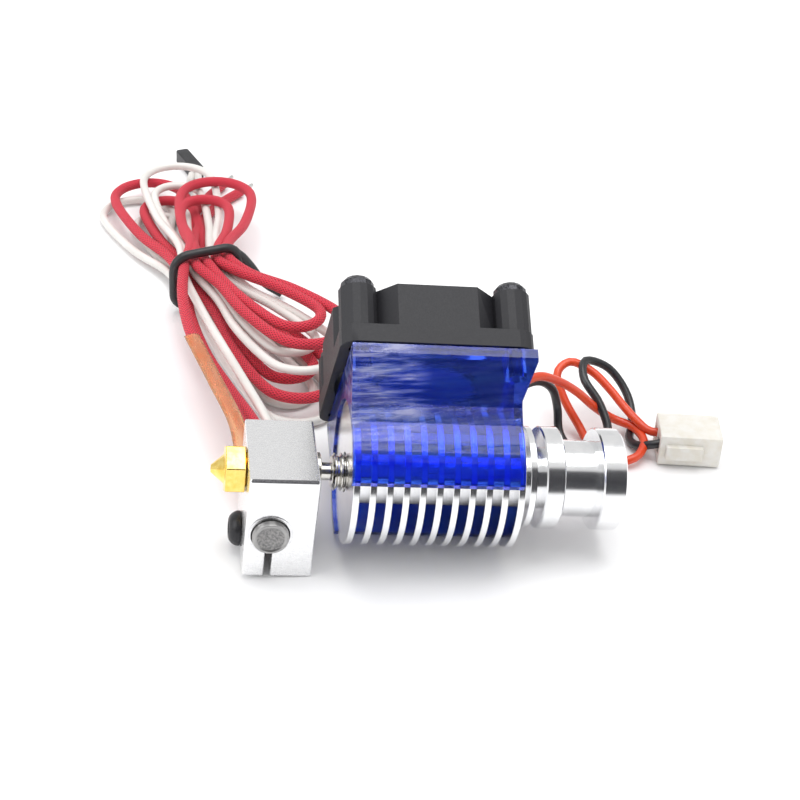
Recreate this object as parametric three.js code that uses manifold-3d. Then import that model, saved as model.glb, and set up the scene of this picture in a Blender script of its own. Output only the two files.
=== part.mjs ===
// Hotend assembly: heater block, nozzle, heat break, finned heatsink, clip-on duct and fan, with its leads.
// Units are millimetres, +Z is up and the assembly lies on its side on the plane z = 0.
import * as THREE from "three";
import { mergeVertices } from "three/addons/utils/BufferGeometryUtils.js";
import Module from "manifold-3d";

const wasm = await Module();
wasm.setup();

// Heatsink, measured along the hotend axis from the nozzle-side face of the first fin.
const FIN_COUNT = 11;
const FIN_PITCH = 2.5;
const FIN_THICKNESS = 1.0;
const FIN_RADIUS = 11.0;
const CORE_RADIUS = 4.8;
const SMALL_FIN = [27.5, 28.5];
const LOWER_FLANGE = [30.0, 33.0];
const TOP_FLANGE = [39.0, 42.7];
const FLANGE_RADIUS = 8.0;
const GROOVE_RADIUS = 6.0;
const THREAD_BORE_RADIUS = 3.1;
const THREAD_BORE_END = 15.0;
const LINER_BORE_RADIUS = 2.15;
const HEATSINK_SIDES = 32;

// Heater block, spanning x, y and z around the hotend axis.
const BLOCK = { x: [-15.1, -4.5], y: [-8.05, 8.05], z: [-14.2, 3.85] };
const HEATER_BORE = { x: -11.3, z: -6.2, radius: 2.95, chamfer: 0.5 };
const CARTRIDGE = { radius: 2.8, y: [-9.3, 10.2] };
const SLOT_WIDTH = 1.0;
const CLAMP = { y: 0, z: -11.3, shank: 1.4, hole: 1.6, head: 2.75, headHeight: 1.8 };
const SENSOR_BORE = { x: -6.6, z: -6.4, radius: 1.1, y: 3.0 };

// Nozzle and heat break.
const NOZZLE = { flats: 6.9, hex: [-18.3, -15.3], tip: -20.4, thread: 2.9, threadEnd: -9.3 };
const NOZZLE_CORNER_ANGLE = 145;
const BREAK = { thread: 2.9, start: -9.0, blockEnd: -3.8, neckEnd: -2.1, end: 14.6, neck: 1.35, bore: 1.0 };
const LINER = { radius: 2.0, bore: 1.0, x: [15.2, 42.7] };

// Duct and fan, built around their own axis and turned back about the hotend axis.
const FAN_TURN = 58.7;
const FAN_CENTRE_X = 13.0;
const FAN_SEAT = 15.0;
const FAN_SIZE = 30.0;
const FAN_HEIGHT = 10.0;
const FAN_PLATE = 3.0;
const FAN_BORE = 14.1;
const SCREW_SPACING = 24.0;
const DUCT = { x: [-0.4, 25.6], flare: 28.0, inner: 11.25, outer: 12.3, clip: 30, wall: 1.2, gap: 0.3 };
const ROTOR = { hub: 7.9, z: [18.0, 24.6], tip: 13.4, blades: 7, blade: 0.9 };

// Pose: it lies on the block's lower edge and on the duct's rear clip, so the axis rises towards the nozzle.
const CLIP_ANGLE = THREE.MathUtils.degToRad(Math.min(90, FAN_TURN + DUCT.clip));
const CLIP_REACH = DUCT.outer * Math.sin(CLIP_ANGLE);
const TILT = Math.atan2(-BLOCK.z[0] - CLIP_REACH, DUCT.x[1] - BLOCK.x[1]);
const AXIS_HEIGHT = DUCT.x[1] * Math.sin(TILT) + CLIP_REACH * Math.cos(TILT);

// Leads: hand-chosen route points, in the standing frame.
const FAN_LEAD_DIAMETER = 1.5;
const HEATER_LEAD_DIAMETER = 2.0;
const SENSOR_LEAD_DIAMETER = 1.6;
const FAN_LEAD_RED = [
  [28.8, 20.4, 10.4], [33.5, 22.8, 14], [38, 25, 12], [43, 27, 7],
  [48, 28, 3.5], [52, 26.2, 3], [55.9, 23.8, 3.1],
];
const FAN_LEAD_BLACK = [
  [28.8, 21.6, 7.8], [33, 22.2, 9], [39, 22.6, 6.5], [45, 23, 4],
  [50, 22, 3.2], [55.4, 20.7, 3.1],
];
const HEATER_LEAD_A = [
  [-12.6, 10.8, 8.2], [-14.4, 18, 8.4], [-18, 31, 8], [-20.3, 42, 7.6],
  [-17.6, 50.6, 7.4],
];
const HEATER_LEAD_B = [
  [-10.4, 10.8, 8.2], [-12, 18, 8.2], [-15.3, 31, 7.6], [-17.4, 40, 6],
  [-15.6, 47.2, 4.5],
];
const SENSOR_LEAD_A = [
  [-7.9, 8.6, 7.8], [-9.5, 16, 7], [-12.6, 30, 5.5], [-14.2, 37, 4.5],
  [-13, 42.2, 3.8],
];
const SENSOR_LEAD_B = [
  [-6.2, 8.6, 7.8], [-7, 15, 6.5], [-9.5, 27, 3.2], [-11.4, 33.5, 2.4],
  [-9.9, 39.3, 2.4],
];
const HANK_ROUTE = [[-4.5, 46.5], [-19, 73.5], [-25, 111]];
const HANK_HALF_WIDTH = 7.5;
const HANK_Z = [0.3, 10.8];
const CONNECTOR = { at: [61.6, 21.4, 0.3], turn: -8, size: [10.6, 7.4, 5.75], flange: 0.9, pitch: 3.2 };

// ---------------------------------------------------------------- materials

const FINISH = {
  aluminium: [0xd9dbde, 0.22, 1.0],
  blockMetal: [0xd4d6d9, 0.3, 1.0],
  brass: [0xd8a832, 0.28, 1.0],
  steel: [0xb9b7b0, 0.25, 1.0],
  cartridge: [0x9a9a98, 0.4, 0.9],
  blackScrew: [0x1b1c1f, 0.45, 0.6],
  sensor: [0xe8e4da, 0.5, 0.0],
  liner: [0xf2f2f0, 0.4, 0.0],
  duct: [0x1226c8, 0.15, 0.0],
  fanPlastic: [0x24252a, 0.55, 0.0],
  rotorPlastic: [0x1d1e22, 0.45, 0.0],
  copper: [0x9c5a2c, 0.4, 0.8],
  magnet: [0x3a3b3e, 0.5, 0.6],
  bearing: [0xb08a4a, 0.4, 0.9],
  label: [0xd0d2d4, 0.5, 0.0],
  redLead: [0xd23a1c, 0.45, 0.0],
  blackLead: [0x151517, 0.45, 0.0],
  redBraid: [0xc8202c, 0.8, 0.0],
  whiteLead: [0xf0ede8, 0.5, 0.0],
  tie: [0x1c1c1e, 0.5, 0.0],
  amberSleeve: [0xe09a5a, 0.3, 0.0],
  connector: [0xf1ece2, 0.45, 0.0],
  terminal: [0xc9c5b8, 0.3, 1.0],
};

function mesh(name, geometry, finish) {
  const [color, roughness, metalness] = FINISH[finish];
  const material = new THREE.MeshStandardMaterial({ color, roughness, metalness });
  const item = new THREE.Mesh(geometry, material);
  item.name = name;
  return item;
}

// ---------------------------------------------------------------- solids and booleans

function clean(geometry) {
  const bare = geometry.index ? geometry.toNonIndexed() : geometry.clone();
  bare.deleteAttribute("normal");
  bare.deleteAttribute("uv");
  return mergeVertices(bare, 1e-4);
}

function solid(geometry) {
  const merged = clean(geometry);
  const source = merged.index.array;
  const kept = [];
  for (let i = 0; i < source.length; i += 3) {
    const [a, b, c] = [source[i], source[i + 1], source[i + 2]];
    if (a !== b && b !== c && c !== a) {
      kept.push(a, b, c);
    }
  }
  const vertProperties = new Float32Array(merged.attributes.position.array);
  return new wasm.Manifold(new wasm.Mesh({ numProp: 3, vertProperties, triVerts: new Uint32Array(kept) }));
}

function geometryOf(body) {
  const result = body.getMesh();
  const geometry = new THREE.BufferGeometry();
  geometry.setAttribute("position", new THREE.BufferAttribute(new Float32Array(result.vertProperties), 3));
  geometry.setIndex(new THREE.BufferAttribute(new Uint32Array(result.triVerts), 1));
  return geometry;
}

function join(pieces) {
  return pieces.map(solid).reduce((total, piece) => total.add(piece));
}

function cut(body, pieces) {
  return pieces.reduce((rest, piece) => rest.subtract(solid(piece)), body);
}

function box(x, y, z) {
  const geometry = new THREE.BoxGeometry(x[1] - x[0], y[1] - y[0], z[1] - z[0]);
  geometry.translate((x[0] + x[1]) / 2, (y[0] + y[1]) / 2, (z[0] + z[1]) / 2);
  return geometry;
}

// A turned solid about +Z; the profile lists [radius, height] anticlockwise.
function turned(profile, sides = 24) {
  const points = profile.map(([radius, height]) => new THREE.Vector2(radius, height));
  const geometry = new THREE.LatheGeometry(points, sides);
  geometry.rotateX(Math.PI / 2);
  return geometry;
}

function alongX(geometry) {
  geometry.rotateY(Math.PI / 2);
  return geometry;
}

function alongY(geometry) {
  geometry.rotateX(-Math.PI / 2);
  return geometry;
}

function rod(radius, from, to, sides = 24) {
  return turned([[0, from], [radius, from], [radius, to], [0, to]], sides);
}

function ring(inner, outer, from, to, sides = 24) {
  return turned([[inner, from], [outer, from], [outer, to], [inner, to], [inner, from]], sides);
}

function prism(outline, depth) {
  const shape = new THREE.Shape(outline.map(([x, y]) => new THREE.Vector2(x, y)));
  return new THREE.ExtrudeGeometry(shape, { depth, bevelEnabled: false, curveSegments: 6 });
}

function polar(radius, degrees) {
  const angle = THREE.MathUtils.degToRad(degrees);
  return [radius * Math.cos(angle), radius * Math.sin(angle)];
}

function arc(centre, radius, from, to, steps) {
  const points = [];
  for (let i = 0; i <= steps; i += 1) {
    const [x, y] = polar(radius, from + ((to - from) * i) / steps);
    points.push([centre[0] + x, centre[1] + y]);
  }
  return points;
}

function tube(route, diameter, steps, sides = 8) {
  const points = route.map((point) => new THREE.Vector3(...point));
  const curve = new THREE.CatmullRomCurve3(points, false, "centripetal");
  const shape = new THREE.Shape(arc([0, 0], diameter / 2, 0, 360 - 360 / sides, sides - 1)
    .map(([x, y]) => new THREE.Vector2(x, y)));
  return new THREE.ExtrudeGeometry(shape, { steps, bevelEnabled: false, extrudePath: curve });
}

// ---------------------------------------------------------------- hot side

function heaterBlock() {
  const body = solid(box(BLOCK.x, BLOCK.y, BLOCK.z));
  const { x, z, radius, chamfer } = HEATER_BORE;
  const reach = BLOCK.y[1] + 1;
  const heaterBore = alongY(rod(radius, -reach, reach, 32));
  heaterBore.translate(x, 0, z);
  const mouth = alongY(turned([[0, BLOCK.y[0] - 0.2], [radius + chamfer + 0.2, BLOCK.y[0] - 0.2],
    [radius, BLOCK.y[0] + chamfer], [0, BLOCK.y[0] + chamfer]], 32));
  mouth.translate(x, 0, z);
  const slot = box([x - SLOT_WIDTH / 2, x + SLOT_WIDTH / 2], [-reach, reach], [BLOCK.z[0] - 1, z]);
  const axisBore = alongX(rod(THREAD_BORE_RADIUS, BLOCK.x[0] - 1, BLOCK.x[1] + 1));
  const clampHole = alongX(rod(CLAMP.hole, BLOCK.x[0] - 1, BLOCK.x[1] + 1, 16));
  clampHole.translate(0, CLAMP.y, CLAMP.z);
  const sensorBore = alongY(rod(SENSOR_BORE.radius, SENSOR_BORE.y, reach, 16));
  sensorBore.translate(SENSOR_BORE.x, 0, SENSOR_BORE.z);
  return geometryOf(cut(body, [heaterBore, mouth, slot, axisBore, clampHole, sensorBore]));
}

function heaterCartridge() {
  const [front, back] = CARTRIDGE.y;
  const edge = CARTRIDGE.radius - 0.35;
  const geometry = alongY(turned([[0, front + 0.25], [edge - 0.5, front + 0.25], [edge, front],
    [CARTRIDGE.radius, front + 0.35], [CARTRIDGE.radius, back], [0, back]], 24));
  geometry.translate(HEATER_BORE.x, 0, HEATER_BORE.z);
  return geometry;
}

function clampScrew() {
  const face = BLOCK.x[0] - 0.1;
  const top = face - CLAMP.headHeight;
  const dome = [[CLAMP.head, face - 0.5], [CLAMP.head - 0.5, face - 1.3], [1.5, top]];
  const body = solid(alongX(turned([[0, top], ...dome.reverse(), [CLAMP.head, face], [CLAMP.shank, face],
    [CLAMP.shank, BLOCK.x[1] - 0.4], [0, BLOCK.x[1] - 0.4]], 20)));
  const socket = alongX(rod(1.15, top - 1, top + 1.1, 6));
  const geometry = geometryOf(cut(body, [socket]));
  geometry.translate(0, CLAMP.y, CLAMP.z);
  return geometry;
}

function nozzle() {
  const corner = NOZZLE.flats / Math.sqrt(3);
  const [hexFront, hexBack] = NOZZLE.hex;
  const hex = alongX(rod(corner, hexFront, hexBack, 6));
  const flatTurn = NOZZLE_CORNER_ANGLE + 90;
  hex.rotateX(THREE.MathUtils.degToRad(flatTurn));
  const coneEnd = hexFront + 0.2;
  const cone = alongX(turned([[0, NOZZLE.tip], [0.55, NOZZLE.tip], [2.2, coneEnd], [0, coneEnd]], 20));
  const thread = alongX(rod(NOZZLE.thread, hexBack - 0.2, NOZZLE.threadEnd, 20));
  const channel = alongX(rod(1.0, hexFront + 0.4, NOZZLE.threadEnd + 1, 12));
  const orifice = alongX(rod(0.2, NOZZLE.tip - 1, hexFront + 1, 8));
  return geometryOf(cut(join([hex, cone, thread]), [channel, orifice]));
}

function heatBreak() {
  const { thread, start, blockEnd, neckEnd, end, neck, bore } = BREAK;
  return alongX(turned([[bore, start], [thread, start], [thread, blockEnd], [neck, blockEnd],
    [neck, neckEnd], [thread - 0.3, neckEnd], [thread, neckEnd + 0.3], [thread, end], [bore, end],
    [bore, start]], 24));
}

function sensorBead() {
  const tip = SENSOR_BORE.y + 0.3;
  const back = BLOCK.y[1] - 0.4;
  const profile = [[0, tip], [0.6, tip + 0.2], [0.8, tip + 0.9], [0.8, back], [0, back]];
  const geometry = alongY(turned(profile, 12));
  geometry.translate(SENSOR_BORE.x, 0, SENSOR_BORE.z);
  return geometry;
}

// ---------------------------------------------------------------- heatsink

function heatsink() {
  const profile = [[THREAD_BORE_RADIUS, 0]];
  for (let i = 0; i < FIN_COUNT; i += 1) {
    const start = i * FIN_PITCH;
    if (i > 0) {
      profile.push([CORE_RADIUS, start]);
    }
    const end = start + FIN_THICKNESS;
    profile.push([FIN_RADIUS, start], [FIN_RADIUS, end], [CORE_RADIUS, end]);
  }
  const top = [SMALL_FIN, LOWER_FLANGE, TOP_FLANGE];
  const rootRadius = [CORE_RADIUS, CORE_RADIUS, GROOVE_RADIUS];
  top.forEach(([start, end], i) => {
    profile.push([rootRadius[i], start], [FLANGE_RADIUS, start], [FLANGE_RADIUS, end]);
    const next = rootRadius[i + 1] ?? LINER_BORE_RADIUS;
    profile.push([next, end]);
  });
  profile.push([LINER_BORE_RADIUS, THREAD_BORE_END], [THREAD_BORE_RADIUS, THREAD_BORE_END]);
  profile.push([THREAD_BORE_RADIUS, 0]);
  return alongX(turned(profile, HEATSINK_SIDES));
}

// ---------------------------------------------------------------- duct, +Z towards the fan, +Y to the back

function ductSection(wall) {
  const outer = DUCT.outer - wall;
  const half = FAN_SIZE / 2 - wall;
  const seat = FAN_SEAT - DUCT.gap;
  const right = arc([0, 0], outer, -DUCT.clip, 15, 6);
  const left = arc([0, 0], outer, 165, 180 + DUCT.clip, 6);
  const rim = [[half, seat - 1.5], [half, seat], [-half, seat], [-half, seat - 1.5]];
  return [...right, [outer, 6], ...rim, [-outer, 6], ...left];
}

function acrossX(outline, from, to) {
  const geometry = prism(outline, to - from);
  geometry.applyMatrix4(new THREE.Matrix4().makeBasis(
    new THREE.Vector3(0, 1, 0), new THREE.Vector3(0, 0, 1), new THREE.Vector3(1, 0, 0)));
  geometry.translate(from, 0, 0);
  return geometry;
}

function duct() {
  const [start, end] = DUCT.x;
  const seat = FAN_SEAT - DUCT.gap;
  const body = solid(acrossX(ductSection(0), start, DUCT.flare));
  const beyond = DUCT.flare + 1;
  const flareOutline = [[beyond, seat - 2], [DUCT.flare, seat - 2], [end, 7], [end, -20], [beyond, -20]];
  const flareCut = prism(flareOutline, 40);
  flareCut.applyMatrix4(new THREE.Matrix4().makeBasis(
    new THREE.Vector3(1, 0, 0), new THREE.Vector3(0, 0, 1), new THREE.Vector3(0, -1, 0)));
  flareCut.translate(0, 20, 0);
  const finBore = alongX(rod(DUCT.inner, start - 1, DUCT.flare + 1, 40));
  const inside = DUCT.outer - DUCT.wall;
  const mouth = FAN_BORE - 0.6;
  const plenumOutline = [[inside, 2], [inside, 6], [mouth, seat - 1.5], [mouth, seat + 1],
    [-mouth, seat + 1], [-mouth, seat - 1.5], [-inside, 6], [-inside, 2]];
  const plenum = solid(acrossX(plenumOutline, start + DUCT.wall, end - DUCT.wall));
  const bosses = cornerRods(2.1, seat - 4.5, seat + 2, 12).map(solid);
  const hollow = bosses.reduce((rest, boss) => rest.subtract(boss), plenum);
  const pilots = cornerRods(1.4, seat - 3.8, seat + 1, 10);
  const shell = cut(body.subtract(hollow), [flareCut, finBore, ...pilots]);
  return geometryOf(shell);
}

function cornerRods(radius, from, to, sides) {
  const half = SCREW_SPACING / 2;
  return [[-half, -half], [half, -half], [half, half], [-half, half]].map(([x, y]) => {
    const geometry = rod(radius, from, to, sides);
    geometry.translate(FAN_CENTRE_X + x, y, 0);
    return geometry;
  });
}

// ---------------------------------------------------------------- fan, same axes as the duct

function atFan(geometry) {
  geometry.translate(FAN_CENTRE_X, 0, 0);
  return geometry;
}

function roundedSquare(half, radius) {
  const inner = half - radius;
  return [...arc([inner, inner], radius, 0, 90, 4), ...arc([-inner, inner], radius, 90, 180, 4),
    ...arc([-inner, -inner], radius, 180, 270, 4), ...arc([inner, -inner], radius, 270, 360, 4)];
}

function fanFrame() {
  const half = FAN_SIZE / 2;
  const top = FAN_SEAT + FAN_HEIGHT;
  const plate = prism(roundedSquare(half, 2.6), FAN_PLATE);
  plate.translate(0, 0, FAN_SEAT);
  const wall = rod(half / Math.cos(Math.PI / 8), FAN_SEAT, top, 8);
  wall.rotateZ(Math.PI / 8);
  const columns = cornerRods(2.95, FAN_SEAT + 0.5, top, 16);
  columns.forEach((column) => column.translate(-FAN_CENTRE_X, 0, 0));
  const holes = cornerRods(1.6, FAN_SEAT - 1, top + 1, 12);
  holes.forEach((hole) => hole.translate(-FAN_CENTRE_X, 0, 0));
  const bore = rod(FAN_BORE, FAN_SEAT - 1, top + 1, 40);
  const shell = cut(join([plate, wall, ...columns]), [bore, ...holes]);
  const seat = rod(7.6, FAN_SEAT + 0.3, FAN_SEAT + 1.5, 24);
  const struts = [45, 135, 225, 315].map((angle) => {
    const strut = box([7, FAN_BORE + 0.4], [-0.8, 0.8], [FAN_SEAT + 0.3, FAN_SEAT + 1.8]);
    strut.rotateZ(THREE.MathUtils.degToRad(angle));
    return strut;
  });
  const hub = [seat, ...struts].map(solid);
  const geometry = geometryOf(hub.reduce((total, piece) => total.add(piece), shell));
  return atFan(geometry);
}

function fanRotor() {
  const [bottom, top] = ROTOR.z;
  const hub = solid(turned([[7.1, bottom], [ROTOR.hub, bottom], [ROTOR.hub, top - 0.5],
    [ROTOR.hub - 0.5, top], [0, top], [0, top - 1.0], [7.1, top - 1.0], [7.1, bottom]], 28));
  const blades = [];
  for (let i = 0; i < ROTOR.blades; i += 1) {
    const blade = prism([[-2.9, bottom + 0.4], [-2.9 + ROTOR.blade, bottom + 0.4], [2.9, top - 0.4],
      [2.9 - ROTOR.blade, top - 0.4]], ROTOR.tip - 7.5);
    blade.applyMatrix4(new THREE.Matrix4().makeBasis(
      new THREE.Vector3(0, 1, 0), new THREE.Vector3(0, 0, 1), new THREE.Vector3(1, 0, 0)));
    blade.translate(7.5, 0, 0);
    blade.rotateZ((2 * Math.PI * i) / ROTOR.blades);
    blades.push(solid(blade));
  }
  return atFan(geometryOf(blades.reduce((total, blade) => total.add(blade), hub)));
}

function fanInside() {
  const bottom = FAN_SEAT + 1.8;
  return [
    mesh("fan_magnet_ring", atFan(ring(6.4, 6.95, 18.3, 23.3, 24)), "magnet"),
    mesh("fan_shaft", atFan(rod(0.75, bottom + 0.2, 23.4, 12)), "steel"),
    mesh("fan_stator_coil", atFan(ring(2.6, 6.0, bottom, 22.8, 20)), "copper"),
    mesh("fan_bearing", atFan(ring(0.82, 2.4, bottom, 22.8, 16)), "bearing"),
    mesh("fan_hub_label", atFan(rod(7.0, FAN_SEAT - 0.05, FAN_SEAT + 0.15, 24)), "label"),
  ];
}

function fanScrews() {
  const top = FAN_SEAT + FAN_HEIGHT + 0.1;
  const half = SCREW_SPACING / 2;
  const corners = [[-half, -half], [half, -half], [half, half], [-half, half]];
  return corners.map(([x, y], i) => {
    const body = solid(turned([[0, FAN_SEAT - 3.8], [0.5, FAN_SEAT - 3.8], [1.2, FAN_SEAT - 3.0], [1.2, top],
      [2.6, top], [2.6, top + 0.9], [1.9, top + 1.7], [0, top + 1.7]], 14));
    const driver = box([-1.4, 1.4], [-0.25, 0.25], [top + 0.9, top + 2]);
    const crossed = driver.clone().rotateZ(Math.PI / 2);
    const geometry = geometryOf(cut(body, [driver, crossed]));
    geometry.rotateZ(0.4 + i * 0.7);
    geometry.translate(FAN_CENTRE_X + x, y, 0);
    return mesh(`fan_screw_${i + 1}`, geometry, "blackScrew");
  });
}

// ---------------------------------------------------------------- leads

function hankOutline(halfWidth) {
  const route = HANK_ROUTE.map(([x, y]) => new THREE.Vector2(x, y));
  const headings = [route[1].clone().sub(route[0]), route[2].clone().sub(route[1])]
    .map((step) => THREE.MathUtils.radToDeg(Math.atan2(step.y, step.x)));
  const bend = (headings[0] + headings[1]) / 2;
  const side = polar(halfWidth, bend - 90);
  const near = arc(HANK_ROUTE[0], halfWidth, headings[0] + 90, headings[0] + 270, 8);
  const far = arc(HANK_ROUTE[2], halfWidth, headings[1] - 90, headings[1] + 90, 8);
  const middle = HANK_ROUTE[1];
  const right = [middle[0] + side[0], middle[1] + side[1]];
  const left = [middle[0] - side[0], middle[1] - side[1]];
  return [...near, right, ...far, left];
}

function hank() {
  const geometry = prism(hankOutline(HANK_HALF_WIDTH), HANK_Z[1] - HANK_Z[0]);
  geometry.translate(0, 0, HANK_Z[0]);
  return geometry;
}

function hankTie() {
  const [x, y] = HANK_ROUTE[1];
  const heading = Math.atan2(HANK_ROUTE[2][1] - HANK_ROUTE[0][1], HANK_ROUTE[2][0] - HANK_ROUTE[0][0]);
  const half = HANK_HALF_WIDTH + 0.9;
  const geometry = box([-0.8, 0.8], [-half, half], [HANK_Z[1] + 0.3, HANK_Z[1] + 1.9]);
  geometry.rotateZ(heading);
  geometry.translate(x, y, 0);
  return geometry;
}

function sensorPlug() {
  const geometry = box([-1.4, 1.4], [-5, 5], [0.3, 3.1]);
  geometry.rotateZ(0.35);
  geometry.translate(-21, 131.4, 0);
  return geometry;
}

function amberSleeve() {
  const outline = [[-1.8, -0.3], [1.8, -0.3], [1.8, 0.3], [-1.8, 0.3]];
  const shape = new THREE.Shape(outline.map(([x, y]) => new THREE.Vector2(y, x)));
  const line = new THREE.LineCurve3(new THREE.Vector3(-15.6, 12, 10.4), new THREE.Vector3(-22.5, 46, 9.6));
  return new THREE.ExtrudeGeometry(shape, { steps: 1, bevelEnabled: false, extrudePath: line });
}

function connectorParts() {
  const [length, width, height] = CONNECTOR.size;
  const wall = 0.9;
  const lane = CONNECTOR.pitch / 2;
  const shell = solid(box([-length / 2, length / 2], [-width / 2, width / 2], [0, height]));
  const cavities = [-1, 1].map((side) => box([-length / 2 - 1, length / 2 - 2.2],
    [side * lane - 1.1, side * lane + 1.1], [wall + 0.6, height - wall - 0.6]));
  const body = cut(shell, cavities);
  const root = width / 2 - 0.1;
  const edge = width / 2 + CONNECTOR.flange;
  const ribs = [[-edge, -root], [root, edge]].map((y) =>
    box([-length / 2 + 1, length / 2 - 3.2], y, [1.6, height - 1.6]));
  const ribbed = ribs.map(solid).reduce((total, rib) => total.add(rib), body);
  const housing = mesh("connector_housing", geometryOf(ribbed), "connector");
  const terminals = [-1, 1].map((side, i) => mesh(`connector_terminal_${i + 1}`,
    box([-length / 2 + 1.2, length / 2 - 2.6], [side * lane - 0.75, side * lane + 0.75],
      [wall + 1.1, height - wall - 1.1]),
    "terminal"));
  const group = new THREE.Group();
  group.add(housing, ...terminals);
  group.rotation.z = THREE.MathUtils.degToRad(CONNECTOR.turn);
  group.position.set(...CONNECTOR.at);
  return group;
}

function leads() {
  return [
    mesh("fan_lead_red", tube(FAN_LEAD_RED, FAN_LEAD_DIAMETER, 9), "redLead"),
    mesh("fan_lead_black", tube(FAN_LEAD_BLACK, FAN_LEAD_DIAMETER, 9), "blackLead"),
    mesh("heater_lead_a", tube(HEATER_LEAD_A, HEATER_LEAD_DIAMETER, 7), "redBraid"),
    mesh("heater_lead_b", tube(HEATER_LEAD_B, HEATER_LEAD_DIAMETER, 7), "redBraid"),
    mesh("sensor_lead_a", tube(SENSOR_LEAD_A, SENSOR_LEAD_DIAMETER, 8), "whiteLead"),
    mesh("sensor_lead_b", tube(SENSOR_LEAD_B, SENSOR_LEAD_DIAMETER, 8), "whiteLead"),
    mesh("lead_hank", hank(), "redBraid"),
    mesh("hank_tie", hankTie(), "tie"),
    mesh("sensor_plug", sensorPlug(), "blackLead"),
    mesh("amber_sleeve", amberSleeve(), "amberSleeve"),
    connectorParts(),
  ];
}

// ---------------------------------------------------------------- assembly

function fanGroup() {
  const group = new THREE.Group();
  group.add(
    mesh("fan_duct", duct(), "duct"),
    mesh("fan_frame", fanFrame(), "fanPlastic"),
    mesh("fan_rotor", fanRotor(), "rotorPlastic"),
    ...fanInside(),
    ...fanScrews(),
  );
  group.rotation.x = THREE.MathUtils.degToRad(-FAN_TURN);
  return group;
}

function hotend() {
  const group = new THREE.Group();
  group.add(
    mesh("heatsink", heatsink(), "aluminium"),
    mesh("liner_tube", alongX(ring(LINER.bore, LINER.radius, LINER.x[0], LINER.x[1], 16)), "liner"),
    mesh("heat_break", heatBreak(), "steel"),
    mesh("heater_block", heaterBlock(), "blockMetal"),
    mesh("nozzle", nozzle(), "brass"),
    mesh("heater_cartridge", heaterCartridge(), "cartridge"),
    mesh("clamp_screw", clampScrew(), "blackScrew"),
    mesh("thermistor_bead", sensorBead(), "sensor"),
    fanGroup(),
  );
  group.rotation.y = TILT;
  group.position.z = AXIS_HEIGHT;
  return group;
}

// The origin is the middle of the hotend's own footprint, without its leads.
function centred(body, extras) {
  const group = new THREE.Group();
  group.add(body, ...extras);
  group.updateMatrixWorld(true);
  const bounds = new THREE.Box3().setFromObject(body, true);
  const middle = bounds.getCenter(new THREE.Vector3());
  group.position.set(-middle.x, -middle.y, -bounds.min.z);
  return group;
}

const assembly = centred(hotend(), leads());
assembly.name = "hotend_assembly";

export default assembly;
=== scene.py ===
import math

import bmesh
import bpy
from mathutils import Matrix, Vector


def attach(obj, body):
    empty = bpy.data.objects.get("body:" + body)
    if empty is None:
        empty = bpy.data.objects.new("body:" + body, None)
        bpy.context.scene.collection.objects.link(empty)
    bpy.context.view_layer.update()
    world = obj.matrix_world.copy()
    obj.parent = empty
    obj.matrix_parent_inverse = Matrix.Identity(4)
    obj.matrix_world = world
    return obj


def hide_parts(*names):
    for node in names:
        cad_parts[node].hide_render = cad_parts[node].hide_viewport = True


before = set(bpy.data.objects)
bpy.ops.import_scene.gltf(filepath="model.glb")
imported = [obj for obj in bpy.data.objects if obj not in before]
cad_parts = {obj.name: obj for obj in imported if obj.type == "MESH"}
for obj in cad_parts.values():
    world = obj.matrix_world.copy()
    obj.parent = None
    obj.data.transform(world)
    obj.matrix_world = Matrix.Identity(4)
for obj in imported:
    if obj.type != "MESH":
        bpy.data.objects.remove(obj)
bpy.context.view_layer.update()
MM = 0.001
ROOT = "hotend"

# ---------------------------------------------------------------- frames of the assembly, in millimetres

BLOCK_X = (-15.1, -4.5)
BLOCK_Y = (-8.05, 8.05)
BLOCK_Z = (-14.2, 3.85)
FAN_TURN = 58.7
DUCT_END = 25.6
DUCT_RADIUS = 12.3
CLIP_ANGLE = 30
# It lies on the block's lower edge and the duct's rear clip, so its axis rises towards the nozzle.
CLIP_REACH = DUCT_RADIUS * math.sin(math.radians(FAN_TURN + CLIP_ANGLE))
TILT = math.atan2(-BLOCK_Z[0] - CLIP_REACH, DUCT_END - BLOCK_X[1])
AXIS_HEIGHT = DUCT_END * math.sin(TILT) + CLIP_REACH * math.cos(TILT)
# Where the hotend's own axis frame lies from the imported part's origin, in plan.
ORIGIN = Vector((-11.363, -9.5604, 0))

SCALE = Matrix.Scale(MM, 4)
STAND = SCALE @ Matrix.Translation(ORIGIN)
HOT = STAND @ Matrix.Translation((0, 0, AXIS_HEIGHT)) @ Matrix.Rotation(TILT, 4, "Y")


# ---------------------------------------------------------------- camera and studio, in metres

EYE = Vector((-0.0375, -0.2212, 0.1696))
TARGET = Vector((-0.0045, -0.0157, 0.0311))
ROLL = math.radians(4.0)
LENS = 77.5
FLOOR_CORNERS = [(-4, -4, 0), (4, -4, 0), (4, 8, 0), (-4, 8, 0)]
FLOOR_GAP = 0.00005
# A dark card behind the camera, which only reflections see: it gives the bright metal its dark bands.
CARD_CORNERS = [(-0.45, -0.5, 0.02), (0.55, -0.5, 0.02), (0.55, -0.42, 0.62), (-0.45, -0.42, 0.62)]


def aim(obj, eye, target, roll=0.0):
    forward = (target - eye).normalized()
    side = forward.cross(Vector((0, 0, 1))).normalized()
    up = side.cross(forward)
    level = (side, up)
    side = level[0] * math.cos(roll) + level[1] * math.sin(roll)
    up = level[1] * math.cos(roll) - level[0] * math.sin(roll)
    turn = Matrix((side, up, -forward)).transposed().to_4x4()
    obj.matrix_world = Matrix.Translation(eye) @ turn


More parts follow.
